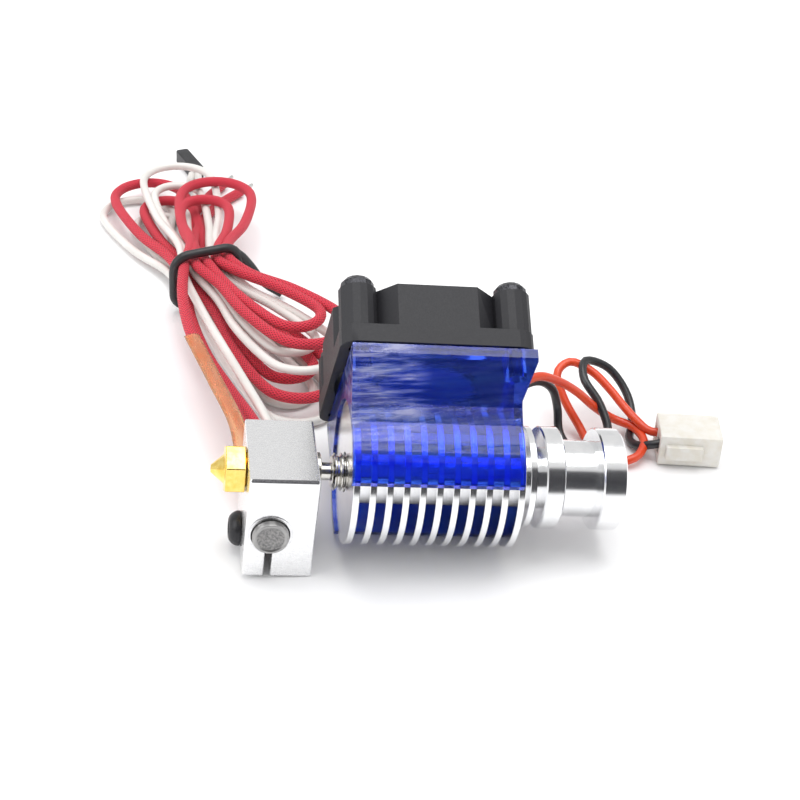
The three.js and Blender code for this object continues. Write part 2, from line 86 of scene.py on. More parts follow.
def camera():
    data = bpy.data.cameras.new("camera")
    data.sensor_width = 36
    data.lens = LENS
    data.clip_start = 0.01
    data.clip_end = 20
    obj = bpy.data.objects.new("camera", data)
    bpy.context.scene.collection.objects.link(obj)
    aim(obj, EYE, TARGET, ROLL)
    bpy.context.scene.camera = obj


def area(name, eye, target, size, power):
    data = bpy.data.lights.new(name, "AREA")
    data.shape = "RECTANGLE"
    data.size, data.size_y = size
    data.energy = power
    obj = bpy.data.objects.new(name, data)
    bpy.context.scene.collection.objects.link(obj)
    aim(obj, Vector(eye), Vector(target))


def plane(name, corners, material):
    mesh = bpy.data.meshes.new(name)
    mesh.from_pydata([Vector(c) for c in corners], [], [tuple(range(len(corners)))])
    mesh.materials.append(material)
    obj = bpy.data.objects.new(name, mesh)
    bpy.context.scene.collection.objects.link(obj)
    return obj


def studio():
    scene = bpy.context.scene
    scene.view_settings.view_transform = "Standard"
    world = bpy.data.worlds.new("studio")
    world.use_nodes = True
    world.node_tree.nodes["Background"].inputs["Color"].default_value = (1.0, 1.0, 1.0, 1)
    world.node_tree.nodes["Background"].inputs["Strength"].default_value = 0.78
    scene.world = world
    area("top_softbox", (0.05, 0.1, 0.75), (0, 0.02, 0), (0.7, 0.5), 3.6)
    area("left_softbox", (-0.6, -0.15, 0.45), (0, 0.02, 0), (0.4, 0.4), 1.6)
    floor = plane("floor", FLOOR_CORNERS, paper_white())
    floor.location.z = -FLOOR_GAP
    card = plane("dark_card", CARD_CORNERS, dark_card())
    card.visible_camera = False
    card.visible_diffuse = False
    card.visible_shadow = False
    card.visible_transmission = False


# ---------------------------------------------------------------- material helpers

class Nodes:
    """A thin helper around one material's node tree."""

    def __init__(self, name, color, roughness, metallic=0.0):
        self.material = bpy.data.materials.new(name)
        self.material.use_nodes = True
        self.tree = self.material.node_tree
        self.shader = self.tree.nodes["Principled BSDF"]
        self.set("Base Color", (*color, 1))
        self.set("Roughness", roughness)
        self.set("Metallic", metallic)

    def set(self, socket, value):
        self.shader.inputs[socket].default_value = value

    def add(self, kind, **settings):
        node = self.tree.nodes.new(kind)
        for key, value in settings.items():
            setattr(node, key, value)
        return node

    def join(self, source, target):
        self.tree.links.new(source, target)

    def position(self, scale=(1, 1, 1)):
        coords = self.add("ShaderNodeTexCoord")
        mapping = self.add("ShaderNodeMapping")
        mapping.inputs["Scale"].default_value = scale
        self.join(coords.outputs["Object"], mapping.inputs["Vector"])
        return mapping.outputs["Vector"]

    def uv(self, scale=(1, 1, 1)):
        coords = self.add("ShaderNodeTexCoord")
        mapping = self.add("ShaderNodeMapping")
        mapping.inputs["Scale"].default_value = scale
        self.join(coords.outputs["UV"], mapping.inputs["Vector"])
        return mapping.outputs["Vector"]

    def around_x(self, along, across):
        """Coordinates that run along X and outwards from it, so a grain follows the turning."""
        coords = self.add("ShaderNodeTexCoord")
        split = self.add("ShaderNodeSeparateXYZ")
        self.join(coords.outputs["Object"], split.inputs[0])
        flat = self.add("ShaderNodeCombineXYZ")
        self.join(split.outputs["Y"], flat.inputs["Y"])
        self.join(split.outputs["Z"], flat.inputs["Z"])
        length = self.add("ShaderNodeVectorMath", operation="LENGTH")
        self.join(flat.outputs[0], length.inputs[0])
        merged = self.add("ShaderNodeCombineXYZ")
        pairs = ((split.outputs["X"], along, "X"), (length.outputs["Value"], across, "Y"))
        for source, factor, target in pairs:
            scaled = self.add("ShaderNodeMath", operation="MULTIPLY")
            self.join(source, scaled.inputs[0])
            scaled.inputs[1].default_value = factor
            self.join(scaled.outputs[0], merged.inputs[target])
        return merged.outputs[0]

    def axis(self, name):
        coords = self.add("ShaderNodeTexCoord")
        split = self.add("ShaderNodeSeparateXYZ")
        self.join(coords.outputs["Object"], split.inputs[0])
        return split.outputs[name]

    def noise(self, vector, scale, detail=3.0, roughness=0.5):
        node = self.add("ShaderNodeTexNoise")
        node.inputs["Scale"].default_value = scale
        node.inputs["Detail"].default_value = detail
        node.inputs["Roughness"].default_value = roughness
        self.join(vector, node.inputs["Vector"])
        return node.outputs["Fac"]

    def band(self, value, low, high, out_low, out_high):
        node = self.add("ShaderNodeMapRange")
        limits = {"From Min": low, "From Max": high, "To Min": out_low, "To Max": out_high}
        for key, number in limits.items():
            node.inputs[key].default_value = number
        self.join(value, node.inputs["Value"])
        return node.outputs["Result"]

    def blend(self, value, first, second, low=0.35, high=0.65):
        ramp = self.add("ShaderNodeValToRGB")
        ramp.color_ramp.elements[0].position = low
        ramp.color_ramp.elements[0].color = (*first, 1)
        ramp.color_ramp.elements[1].position = high
        ramp.color_ramp.elements[1].color = (*second, 1)
        self.join(value, ramp.inputs["Fac"])
        return ramp.outputs["Color"]

    def bump(self, height, distance, strength=1.0, after=None):
        node = self.add("ShaderNodeBump")
        node.inputs["Distance"].default_value = distance
        node.inputs["Strength"].default_value = strength
        self.join(height, node.inputs["Height"])
        if after is not None:
            self.join(after, node.inputs["Normal"])
        self.join(node.outputs["Normal"], self.shader.inputs["Normal"])
        return node.outputs["Normal"]

    def drive(self, value, socket):
        self.join(value, self.shader.inputs[socket])


def paper_white():
    m = Nodes("floor_white", (0.93, 0.93, 0.94), 0.9)
    grain = m.noise(m.position(), 40)
    m.drive(m.blend(grain, (0.925, 0.925, 0.935), (0.94, 0.94, 0.945)), "Base Color")
    return m.material


def dark_card():
    m = Nodes("card_black", (0.03, 0.03, 0.035), 0.9)
    m.drive(m.blend(m.noise(m.position(), 5), (0.02, 0.02, 0.024), (0.04, 0.04, 0.045)), "Base Color")
    return m.material


def turned_aluminium():
    m = Nodes("turned_aluminium", (0.9, 0.905, 0.915), 0.16, 1.0)
    rings = m.around_x(1.0, 1.0)
    fine = m.noise(rings, 9.0, 5, 0.7)
    broad = m.noise(m.position((0.4, 0.4, 0.4)), 1.0, 2)
    m.drive(m.band(fine, 0.3, 0.7, 0.1, 0.24), "Roughness")
    m.drive(m.blend(broad, (0.86, 0.865, 0.875), (0.93, 0.93, 0.935)), "Base Color")
    m.bump(fine, 0.00001, 0.5)
    return m.material


def milled_aluminium():
    m = Nodes("milled_aluminium", (0.9, 0.9, 0.905), 0.28, 1.0)
    streak = m.noise(m.position((0.5, 6, 6)), 1.6, 4, 0.6)
    speckle = m.noise(m.position(), 4.5, 6, 0.75)
    m.drive(m.band(speckle, 0.35, 0.65, 0.14, 0.34), "Roughness")
    m.drive(m.blend(streak, (0.84, 0.84, 0.85), (0.95, 0.95, 0.95)), "Base Color")
    first = m.bump(speckle, 0.00004, 0.35)
    m.bump(streak, 0.00002, 0.3, first)
    return m.material


def painted_edge_reflection():
    # Painted dark reflection: the colour of a dark strip that stands in for the dark line the block's
    # bevelled top front edge reflects.
    m = Nodes("painted_edge_reflection", (0.12, 0.12, 0.13), 0.55, 0.6)
    rough = m.noise(m.position((3, 3, 3)), 2.0, 5)
    m.drive(m.blend(rough, (0.05, 0.05, 0.055), (0.2, 0.2, 0.21)), "Base Color")
    m.bump(rough, 0.00005, 0.6)
    return m.material


def turned_brass():
    m = Nodes("turned_brass", (0.92, 0.66, 0.16), 0.2, 1.0)
    rings = m.noise(m.around_x(1.0, 1.0), 8, 4, 0.6)
    tarnish = m.noise(m.position(), 0.9, 4)
    m.drive(m.blend(tarnish, (0.88, 0.6, 0.13), (0.98, 0.75, 0.24)), "Base Color")
    m.drive(m.band(rings, 0.3, 0.7, 0.12, 0.32), "Roughness")
    m.bump(rings, 0.00001, 0.5)
    return m.material


def bright_steel(name="bright_steel", tone=(0.72, 0.7, 0.66), roughness=(0.12, 0.3)):
    m = Nodes(name, tone, 0.2, 1.0)
    rings = m.noise(m.around_x(1.0, 1.0), 8, 4, 0.6)
    stain = m.noise(m.position(), 1.3, 3)
    darker = tuple(c * 0.85 for c in tone)
    m.drive(m.blend(stain, darker, tone), "Base Color")
    m.drive(m.band(rings, 0.3, 0.7, *roughness), "Roughness")
    m.bump(rings, 0.00001, 0.5)
    return m.material


def black_oxide():
    m = Nodes("black_oxide", (0.03, 0.031, 0.034), 0.4, 0.55)
    grain = m.noise(m.position(), 6, 5, 0.7)
    m.drive(m.blend(grain, (0.018, 0.018, 0.02), (0.05, 0.05, 0.055)), "Base Color")
    m.drive(m.band(grain, 0.3, 0.7, 0.3, 0.55), "Roughness")
    m.bump(grain, 0.00003, 0.4)
    return m.material


def cement():
    m = Nodes("cartridge_cement", (0.5, 0.49, 0.48), 0.6, 0.3)
    grain = m.noise(m.position(), 2.6, 6, 0.7)
    m.drive(m.blend(grain, (0.16, 0.16, 0.165), (0.42, 0.41, 0.4), 0.35, 0.65), "Base Color")
    m.bump(grain, 0.0002, 0.7)
    return m.material


def moulded_plastic(name, dark, light, roughness=(0.42, 0.62), grain=5.0, depth=0.00003):
    m = Nodes(name, dark, 0.5)
    fine = m.noise(m.position(), grain, 5, 0.7)
    wide = m.noise(m.position(), 0.35, 3)
    m.drive(m.blend(wide, dark, light), "Base Color")
    m.drive(m.band(fine, 0.3, 0.7, *roughness), "Roughness")
    m.set("Specular IOR Level", 0.45)
    m.bump(fine, depth, 0.35)
    return m.material


def clear_blue():
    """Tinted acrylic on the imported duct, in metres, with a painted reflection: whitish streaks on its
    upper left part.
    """
    m = Nodes("clear_blue", (0.02, 0.06, 0.95), 0.07)
    flow = m.noise(m.position((60, 500, 500)), 1.0, 4, 0.6)
    streak = m.noise(m.position((70, 300, 900)), 1.3, 5, 0.65)
    # Painted reflection: whitish streaks masked to the duct's upper left, where the transmission is also
    # turned down.
    left = m.band(m.axis("X"), -0.002, 0.0016, 1.0, 0.12)
    reflection_streaks = m.add("ShaderNodeMath", operation="MULTIPLY")
    m.join(m.band(streak, 0.42, 0.62, 0.0, 0.85), reflection_streaks.inputs[0])
    m.join(left, reflection_streaks.inputs[1])
    high = m.band(m.axis("Z"), 0.0228, 0.0255, 0.0, 1.0)
    painted_reflection = m.add("ShaderNodeMath", operation="MULTIPLY")
    m.join(reflection_streaks.outputs[0], painted_reflection.inputs[0])
    m.join(high, painted_reflection.inputs[1])
    tint = m.add("ShaderNodeMix", data_type="RGBA")
    m.join(painted_reflection.outputs[0], tint.inputs["Factor"])
    m.join(m.blend(flow, (0.02, 0.07, 0.92), (0.07, 0.22, 1.0)), tint.inputs[6])
    # The whitish colour of the painted reflection.
    tint.inputs[7].default_value = (0.55, 0.56, 0.76, 1)
    m.join(tint.outputs[2], m.shader.inputs["Base Color"])
    m.drive(m.band(flow, 0.3, 0.7, 0.03, 0.14), "Roughness")
    m.drive(m.band(painted_reflection.outputs[0], 0.0, 1.0, 0.95, 0.45), "Transmission Weight")
    m.set("IOR", 1.49)
    m.bump(streak, 0.0002, 0.4)
    return m.material


def smooth_lead(name, dark, light, roughness=(0.3, 0.5)):
    m = Nodes(name, dark, 0.4)
    wide = m.noise(m.uv((0.6, 0.12, 1)), 1.0, 3)
    fine = m.noise(m.uv((2.5, 0.5, 1)), 2.0, 4)
    m.drive(m.blend(wide, dark, light), "Base Color")
    m.drive(m.band(fine, 0.3, 0.7, *roughness), "Roughness")
    m.set("Coat Weight", 0.15)
    m.bump(fine, 0.00005, 0.25)
    return m.material


def woven_sleeve(name, deep, bright):
    """A braid: two sets of slanting yarns cross over each other around the lead."""
    m = Nodes(name, bright, 0.75)
    first = m.add("ShaderNodeTexWave", wave_type="BANDS", bands_direction="DIAGONAL")
    second = m.add("ShaderNodeTexWave", wave_type="BANDS", bands_direction="DIAGONAL")
    for node, side in ((first, 1), (second, -1)):
        node.inputs["Scale"].default_value = 0.62
        node.inputs["Distortion"].default_value = 0.8
        node.inputs["Detail"].default_value = 2
        m.join(m.uv((side * 1.9, 1.25, 1)), node.inputs["Vector"])
    crossed = m.add("ShaderNodeMath", operation="MAXIMUM")
    m.join(first.outputs["Fac"], crossed.inputs[0])
    m.join(second.outputs["Fac"], crossed.inputs[1])
    fuzz = m.noise(m.uv((6, 3, 1)), 2.5, 4, 0.7)
    m.drive(m.blend(crossed.outputs[0], deep, bright, 0.25, 0.95), "Base Color")
    m.drive(m.band(fuzz, 0.3, 0.7, 0.55, 0.85), "Roughness")
    m.set("Sheen Weight", 0.12)
    m.set("Sheen Roughness", 0.5)
    first_bump = m.bump(crossed.outputs[0], 0.00028, 0.9)
    m.bump(fuzz, 0.00008, 0.5, first_bump)
    return m.material


def amber_film():
    m = Nodes("amber_film", (0.95, 0.5, 0.2), 0.22)
    streak = m.noise(m.position((0.9, 0.25, 1)), 0.8, 3)
    m.drive(m.blend(streak, (0.97, 0.48, 0.2), (0.99, 0.62, 0.36)), "Base Color")
    m.drive(m.band(streak, 0.3, 0.7, 0.15, 0.35), "Roughness")
    m.set("Transmission Weight", 0.75)
    m.set("IOR", 1.45)
    m.bump(streak, 0.0001, 0.3)
    return m.material


# ---------------------------------------------------------------- mesh helpers

CORD_STEP = 1.0


def piece(name, mesh, materials, matrix, stands_for=(), smooth=35, bevel=0.0, segments=2):
    """Places a mesh on the hotend body, with its finish, soft shading and rounded edges."""
    for material in materials:
        mesh.materials.append(material)
    obj = bpy.data.objects.new(name + "_look", mesh)
    bpy.context.scene.collection.objects.link(obj)
    obj.matrix_world = matrix
    mesh.polygons.foreach_set("use_smooth", [True] * len(mesh.polygons))
    mesh.set_sharp_from_angle(angle=math.radians(smooth))
    if bevel:
        mod = obj.modifiers.new("edges", "BEVEL")
        mod.width = bevel
        mod.segments = segments
        mod.limit_method = "ANGLE"
        mod.angle_limit = math.radians(38)
        mod.harden_normals = True
    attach(obj, ROOT)
    if stands_for:
        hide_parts(*stands_for)
    return obj


def turned_mesh(name, profile, sides=96, closed=True):
    """A solid turned about X from a profile of (x, radius); points on the axis become one vertex."""
    verts, rows = [], []
    for x, radius in profile:
        if radius < 1e-6:
            rows.append([len(verts)] * sides)
            verts.append((x, 0, 0))
        else:
            rows.append(list(range(len(verts), len(verts) + sides)))
            for k in range(sides):
                angle = 2 * math.pi * k / sides
                verts.append((x, radius * math.cos(angle), radius * math.sin(angle)))
    faces = []
    count = len(rows)
    for i in range(count if closed else count - 1):
        a, b = rows[i], rows[(i + 1) % count]
        for k in range(sides):
            n = (k + 1) % sides
            ring = []
            for v in (a[k], a[n], b[n], b[k]):
                if v not in ring:
                    ring.append(v)
            if len(ring) > 2:
                faces.append(ring)
    mesh = bpy.data.meshes.new(name)
    mesh.from_pydata(verts, [], faces)
    clean_normals(mesh)
    return mesh


def clean_normals(mesh):
    bm = bmesh.new()
    bm.from_mesh(mesh)
    bmesh.ops.recalc_face_normals(bm, faces=bm.faces)
    bm.to_mesh(mesh)
    bm.free()


def chamfered(points, size):
    """Replaces each corner of a profile by two points, size back along its sides."""
    out = []
    count = len(points)
    for i, point in enumerate(points):
        here, before, after = Vector(point), Vector(points[i - 1]), Vector(points[(i + 1) % count])
        to_before, to_after = before - here, after - here
        cut = min(size, 0.45 * to_before.length, 0.45 * to_after.length)
        out.append(tuple(here + to_before.normalized() * cut))
        out.append(tuple(here + to_after.normalized() * cut))
    return out


def prism_mesh(name, outline, low, high, axis="y"):
    """An outline in the plane of the other two axes, in their order, extruded along one axis."""
    place = {
        "y": lambda p, h: (p[0], h, p[1]),
        "x": lambda p, h: (h, p[0], p[1]),
        "z": lambda p, h: (p[0], p[1], h),
    }[axis]
    count = len(outline)
    verts = [place(p, low) for p in outline] + [place(p, high) for p in outline]
    faces = [tuple(range(count)), tuple(reversed(range(count, 2 * count)))]
    faces += [(i, (i + 1) % count, count + (i + 1) % count, count + i) for i in range(count)]
    mesh = bpy.data.meshes.new(name)
    mesh.from_pydata(verts, [], faces)
    clean_normals(mesh)
    return mesh


def arc(cx, cy, radius, start, end, steps):
    angles = [math.radians(start + (end - start) * i / steps) for i in range(steps + 1)]
    return [(cx + radius * math.cos(angle), cy + radius * math.sin(angle)) for angle in angles]


def spline(points, per_span=10):
    """A centripetal Catmull-Rom curve through the points."""
    pts = [Vector(p) for p in points]
    pts = [pts[0] * 2 - pts[1]] + pts + [pts[-1] * 2 - pts[-2]]
    out = []
    for i in range(1, len(pts) - 2):
        p0, p1, p2, p3 = pts[i - 1:i + 3]
        t0 = 0.0
        t1 = t0 + max((p1 - p0).length, 1e-6) ** 0.5
        t2 = t1 + max((p2 - p1).length, 1e-6) ** 0.5
        t3 = t2 + max((p3 - p2).length, 1e-6) ** 0.5
        for k in range(per_span):
            t = t1 + (t2 - t1) * k / per_span
            a1 = p0 * ((t1 - t) / (t1 - t0)) + p1 * ((t - t0) / (t1 - t0))
            a2 = p1 * ((t2 - t) / (t2 - t1)) + p2 * ((t - t1) / (t2 - t1))
            a3 = p2 * ((t3 - t) / (t3 - t2)) + p3 * ((t - t2) / (t3 - t2))
            b1 = a1 * ((t2 - t) / (t2 - t0)) + a2 * ((t - t0) / (t2 - t0))
            b2 = a2 * ((t3 - t) / (t3 - t1)) + a3 * ((t - t1) / (t3 - t1))
            out.append(b1 * ((t2 - t) / (t2 - t1)) + b2 * ((t - t1) / (t2 - t1)))
    out.append(pts[-2])
    return out


def even(points, step):
    """The same line with points a fixed step apart."""
    out = [points[0].copy()]
    left = step
    for a, b in zip(points, points[1:]):
        span = (b - a).length
        done = 0.0
        while span - done >= left:
            done += left
            out.append(a.lerp(b, done / span))
            left = step
        left -= span - done
    if (out[-1] - points[-1]).length > step * 0.3:
        out.append(points[-1].copy())
    return out


def tube_mesh(name, points, radius, sides=14, closed=False):
    """A round tube along points in millimetres, with UVs in millimetres: around, then along."""
    count = len(points)
    tangents = []
    for i in range(count):
        a = points[i - 1] if i > 0 or closed else points[i]
        b = points[(i + 1) % count] if i < count - 1 or closed else points[i]
        tangents.append((b - a).normalized())
    normal = tangents[0].orthogonal().normalized()
    frames = []
    for i, tangent in enumerate(tangents):
        normal = (normal - tangent * normal.dot(tangent)).normalized()
        frames.append((normal.copy(), tangent.cross(normal)))
    verts, lengths, travelled = [], [], 0.0
    for i, point in enumerate(points):
        if i:
            travelled += (point - points[i - 1]).length
        lengths.append(travelled)
        a, b = frames[i]
        for k in range(sides):
            angle = 2 * math.pi * k / sides
            verts.append(point + a * (radius * math.cos(angle)) + b * (radius * math.sin(angle)))
    faces, uvs = [], []
    turn = 2 * math.pi * radius
    for i in range(count if closed else count - 1):
        j = (i + 1) % count
        end = lengths[j] if j else travelled + 1
        for k in range(sides):
            n = (k + 1) % sides
            faces.append((i * sides + k, i * sides + n, j * sides + n, j * sides + k))
            u0, u1 = turn * k / sides, turn * (k + 1) / sides
            uvs += [(u0, lengths[i]), (u1, lengths[i]), (u1, end), (u0, end)]
    if not closed:
        faces.append(tuple(reversed(range(sides))))
        faces.append(tuple(range((count - 1) * sides, count * sides)))
        uvs += [(0, 0)] * (2 * sides)
    mesh = bpy.data.meshes.new(name)
    mesh.from_pydata(verts, [], faces)
    layer = mesh.uv_layers.new(name="UVMap")
    for loop, uv in zip(layer.data, uvs):
        loop.uv = uv
    clean_normals(mesh)
    return mesh


def cord_piece(name, points, diameter, material, stands_for):
    """A lead along points in millimetres, as a round tube."""
    line = even(points, CORD_STEP)
    mesh = tube_mesh(name, line, diameter / 2)
    obj = piece(name, mesh, [material], STAND, stands_for=stands_for, smooth=60)


def cad_finish(node, material, bevel=0.0, smooth=32):
    """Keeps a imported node's shape, rounds its edges a little and gives it a finish."""
    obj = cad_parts[node]
    obj.data.materials.clear()
    obj.data.materials.append(material)
    weld = obj.modifiers.new("weld", "WELD")
    weld.merge_threshold = 0.000002
    if bevel:
        mod = obj.modifiers.new("edges", "BEVEL")
        mod.width = bevel * MM
        mod.segments = 2
        mod.limit_method = "ANGLE"
        mod.angle_limit = math.radians(smooth)
        mod.use_clamp_overlap = True
        mod.harden_normals = True
    return obj


# ---------------------------------------------------------------- hot side

HEATER_BORE = {"x": -11.3, "z": -6.2, "radius": 2.95}
SLOT_HALF_WIDTH = 0.5
CARTRIDGE = {"front": -9.3, "back": 10.2, "radius": 2.8}
CLAMP_Z = -11.3
QUARTER_TURN = Matrix.Rotation(math.radians(90), 4, "Z")


def heater_block():
    x0, x1 = BLOCK_X
    z0, z1 = BLOCK_Z
    front = BLOCK_Y[0]
    bore_x, bore_z, bore = HEATER_BORE["x"], HEATER_BORE["z"], HEATER_BORE["radius"]
    slot = SLOT_HALF_WIDTH
    lip = math.degrees(math.acos(slot / bore))
    keyhole = [(bore_x + slot, z0), *arc(bore_x, bore_z, bore, -lip, 180 + lip, 40), (bore_x - slot, z0)]
    outline = [(x0, z0), (x0, z1), (x1, z1), (x1, z0)] + keyhole
    mesh = prism_mesh("heater_block", outline, *BLOCK_Y, axis="y")
    piece("heater_block", mesh, [milled_aluminium()], HOT, stands_for=["heater_block"],
          smooth=25, bevel=0.32, segments=3)
    inner, outer = bore + 0.05, bore + 0.5
    rim = turned_mesh("bore_rim", [(-0.12, inner), (-0.12, outer), (0.1, outer + 0.02), (0.1, inner)], 64)
    rim_place = Matrix.Translation((bore_x, front - 0.02, bore_z)) @ QUARTER_TURN
    rim_metal = bright_steel("bore_rim_metal", (0.85, 0.85, 0.86))
    piece("bore_rim", rim, [rim_metal], HOT @ rim_place)
    # A painted dark reflection: a thin dark strip laid along the block's top front edge, where the bevel
    # reflects dark.
    low, high = z1 - 0.42, z1 + 0.02
    section = [(front - 0.1, low), (front - 0.1, high), (front + 0.4, high), (front + 0.4, low)]
    edge_reflection_strip = prism_mesh("top_edge_dark_reflection", section, x0 + 0.3, x1 - 0.3, axis="x")
    piece("top_edge_dark_reflection", edge_reflection_strip, [painted_edge_reflection()], HOT, bevel=0.1)


def heater_cartridge():
    front, back, r = CARTRIDGE["front"], CARTRIDGE["back"], CARTRIDGE["radius"]
    profile = [
        (front + 0.55, 0), (front + 0.5, 0.5), (front + 0.35, 1.0), (front + 0.4, 1.7),
        (front + 0.2, 2.1), (front + 0.02, 2.3), (front, 2.45), (front + 0.1, 2.68),
        (front + 0.35, r), (back - 0.3, r), (back, r - 0.3), (back, 0),
    ]
    mesh = turned_mesh("heater_cartridge", profile, 72, closed=False)
    mesh.materials.append(bright_steel("cartridge_steel", (0.42, 0.415, 0.41), (0.28, 0.45)))
    mesh.materials.append(cement())
    for face in mesh.polygons:
        if face.center.x < front + 0.8 and math.hypot(face.center.y, face.center.z) < 2.0:
            face.material_index = 1
    place = Matrix.Translation((HEATER_BORE["x"], 0, HEATER_BORE["z"])) @ QUARTER_TURN
    piece("heater_cartridge", mesh, [], HOT @ place, stands_for=["heater_cartridge"],
          smooth=40)


def clamp_screw():
    face = BLOCK_X[0] - 0.1
    top = face - 1.8
    end = BLOCK_X[1] - 0.4
    profile = [
        (top + 1.1, 0), (top + 1.1, 1.15), (top + 0.05, 1.15), (top, 1.3), (top + 0.02, 1.5),
        (top + 0.16, 1.9), (face - 1.3, 2.3), (face - 0.9, 2.58), (face - 0.5, 2.73), (face, 2.75),
        (face, 1.4), (end, 1.4), (end, 0),
    ]
    mesh = turned_mesh("clamp_screw", profile, 48, closed=False)
    piece("clamp_screw", mesh, [black_oxide()], HOT @ Matrix.Translation((0, 0, CLAMP_Z)),
          stands_for=["clamp_screw"], smooth=40)


def nozzle():
    brass = turned_brass()
    corner = 6.9 / math.sqrt(3)
    angles = [math.radians(145 + 60 * k) for k in range(6)]
    hexagon = [(corner * math.cos(angle), corner * math.sin(angle)) for angle in angles]
    body = prism_mesh("nozzle", hexagon, -18.3, -15.3, axis="x")
    piece("nozzle", body, [brass], HOT, stands_for=["nozzle"], smooth=25, bevel=0.18)
    cone = turned_mesh("nozzle_tip", [
        (-20.4, 0.2), (-20.4, 0.55), (-20.3, 0.66), (-18.55, 2.15), (-18.4, 2.35), (-18.3, 2.9),
        (-18.2, 3.0), (-18.2, 0.2),
    ], 72)
    piece("nozzle_tip", cone, [brass], HOT, smooth=25)
    thread = [(-15.4, 0.9), (-15.4, 2.4), (-15.0, 2.9), (-9.3, 2.9), (-9.3, 0.9)]
    piece("nozzle_thread", turned_mesh("nozzle_thread", thread, 48), [brass], HOT, smooth=25)


def heat_break():
    bore, crest, root, neck = 1.0, 2.9, 2.4, 1.35
    profile = [
        (-9.0, bore), (-9.0, crest), (-3.95, crest), (-3.8, 2.75), (-3.8, 1.6), (-3.65, 1.38),
        (-2.25, neck), (-2.1, 1.5), (-2.1, 2.35),
    ]
    x = -2.1
    while x < 1.5:
        profile += [(x + 0.12, root), (x + 0.42, crest), (x + 0.58, crest), (x + 0.88, root)]
        x += 1.0
    profile += [(14.6, crest), (14.6, bore)]
    mesh = turned_mesh("heat_break", profile, 64)
    steel = bright_steel("heat_break_steel", (0.74, 0.72, 0.68), (0.08, 0.22))
    piece("heat_break", mesh, [steel], HOT, stands_for=["heat_break"], smooth=28)


def disc(start, end, root, radius, chamfer):
    """The profile of one fin or flange, up from its root, across and down to its far corner."""
    return [(start, root), (start, radius - chamfer), (start + chamfer, radius),
            (end - chamfer, radius), (end, radius - chamfer)]


def heatsink():
    bore, liner_bore, core, groove, fin, flange = 3.1, 2.15, 4.8, 6.0, 11, 8
    profile = [(0, bore)]
    for i in range(11):
        start = 2.5 * i
        whole = disc(start, start + 1, core, fin, 0.07) + [(start + 1, core)]
        profile += whole if i else whole[1:]
    profile += disc(27.5, 28.5, core, flange, 0.07) + [(28.5, core)]
    profile += disc(30, 33, core, flange, 0.22) + [(33, groove)]
    profile += disc(39, 42.7, groove, flange, 0.22)
    profile += [(42.7, 2.6), (42.25, liner_bore), (15, liner_bore), (15, bore)]
    mesh = turned_mesh("heatsink", profile, 128)
    piece("heatsink", mesh, [turned_aluminium()], HOT, stands_for=["heatsink"], smooth=28)


# ---------------------------------------------------------------- fan and duct

def fan_and_duct():
    charcoal = moulded_plastic("fan_plastic", (0.013, 0.013, 0.016), (0.024, 0.024, 0.029),
                               (0.42, 0.64), 5000, 0.00003)
    blades = moulded_plastic("rotor_plastic", (0.018, 0.019, 0.023), (0.034, 0.036, 0.042),
                             (0.3, 0.5), 4000, 0.00002)
    cad_finish("fan_frame", charcoal, 0.22)
    cad_finish("fan_rotor", blades, 0.12)
    cad_finish("fan_duct", clear_blue(), 0.15)
    screw = Nodes("fan_screw_metal", (0.05, 0.05, 0.055), 0.35, 0.8)
    grain = screw.noise(screw.position((1000, 1000, 1000)), 4, 4)
    screw.drive(screw.blend(grain, (0.03, 0.03, 0.034), (0.09, 0.09, 0.1)), "Base Color")
    screw.drive(screw.band(grain, 0.3, 0.7, 0.25, 0.5), "Roughness")
    for i in range(1, 5):
        cad_finish(f"fan_screw_{i}", screw.material, 0.1)


def small_metal(name, dark, light, roughness, metallic):
    m = Nodes(name, dark, roughness, metallic)
    grain = m.noise(m.position((1000, 1000, 1000)), 2, 4)
    m.drive(m.blend(grain, dark, light), "Base Color")
    m.drive(m.band(grain, 0.3, 0.7, roughness * 0.8, roughness * 1.3), "Roughness")
    return m.material


# Hidden pieces: node, slot, finish, darker and lighter tone, roughness and metallic.
INSIDE = (
    ("liner_tube", "liner", "liner_ptfe", (0.86, 0.86, 0.85), (0.93, 0.93, 0.92), 0.4, 0),
    ("thermistor_bead", "thermistor_bead", "bead_cement", (0.8, 0.78, 0.74), (0.9, 0.88, 0.84), 0.7, 0),
    ("fan_magnet_ring", "magnet", "ferrite", (0.06, 0.06, 0.065), (0.12, 0.12, 0.125), 0.6, 0.2),
    ("fan_shaft", "shaft", "ground_steel", (0.6, 0.6, 0.6), (0.75, 0.75, 0.74), 0.2, 1),
    ("fan_stator_coil", "coil", "enamelled_copper", (0.5, 0.22, 0.08), (0.68, 0.34, 0.14), 0.3, 0.9),
    ("fan_bearing", "bearing", "sintered_bronze", (0.45, 0.32, 0.14), (0.6, 0.45, 0.22), 0.5, 0.9),
    ("fan_hub_label", "hub_label", "blank_label", (0.7, 0.71, 0.72), (0.8, 0.81, 0.82), 0.5, 0),
)


def inside_pieces():
    for node, slot, *finish in INSIDE:
        cad_finish(node, small_metal(*finish), 0)


# ---------------------------------------------------------------- leads

TIE = Vector((-19, 73.5, 0))
TIE_ALONG = Vector((-0.35, 0.937, 0)).normalized()
TIE_SIDE = Vector((TIE_ALONG.y, -TIE_ALONG.x, 0))
STRAND_PITCH = 2.2
TIE_FLOOR = 3.1
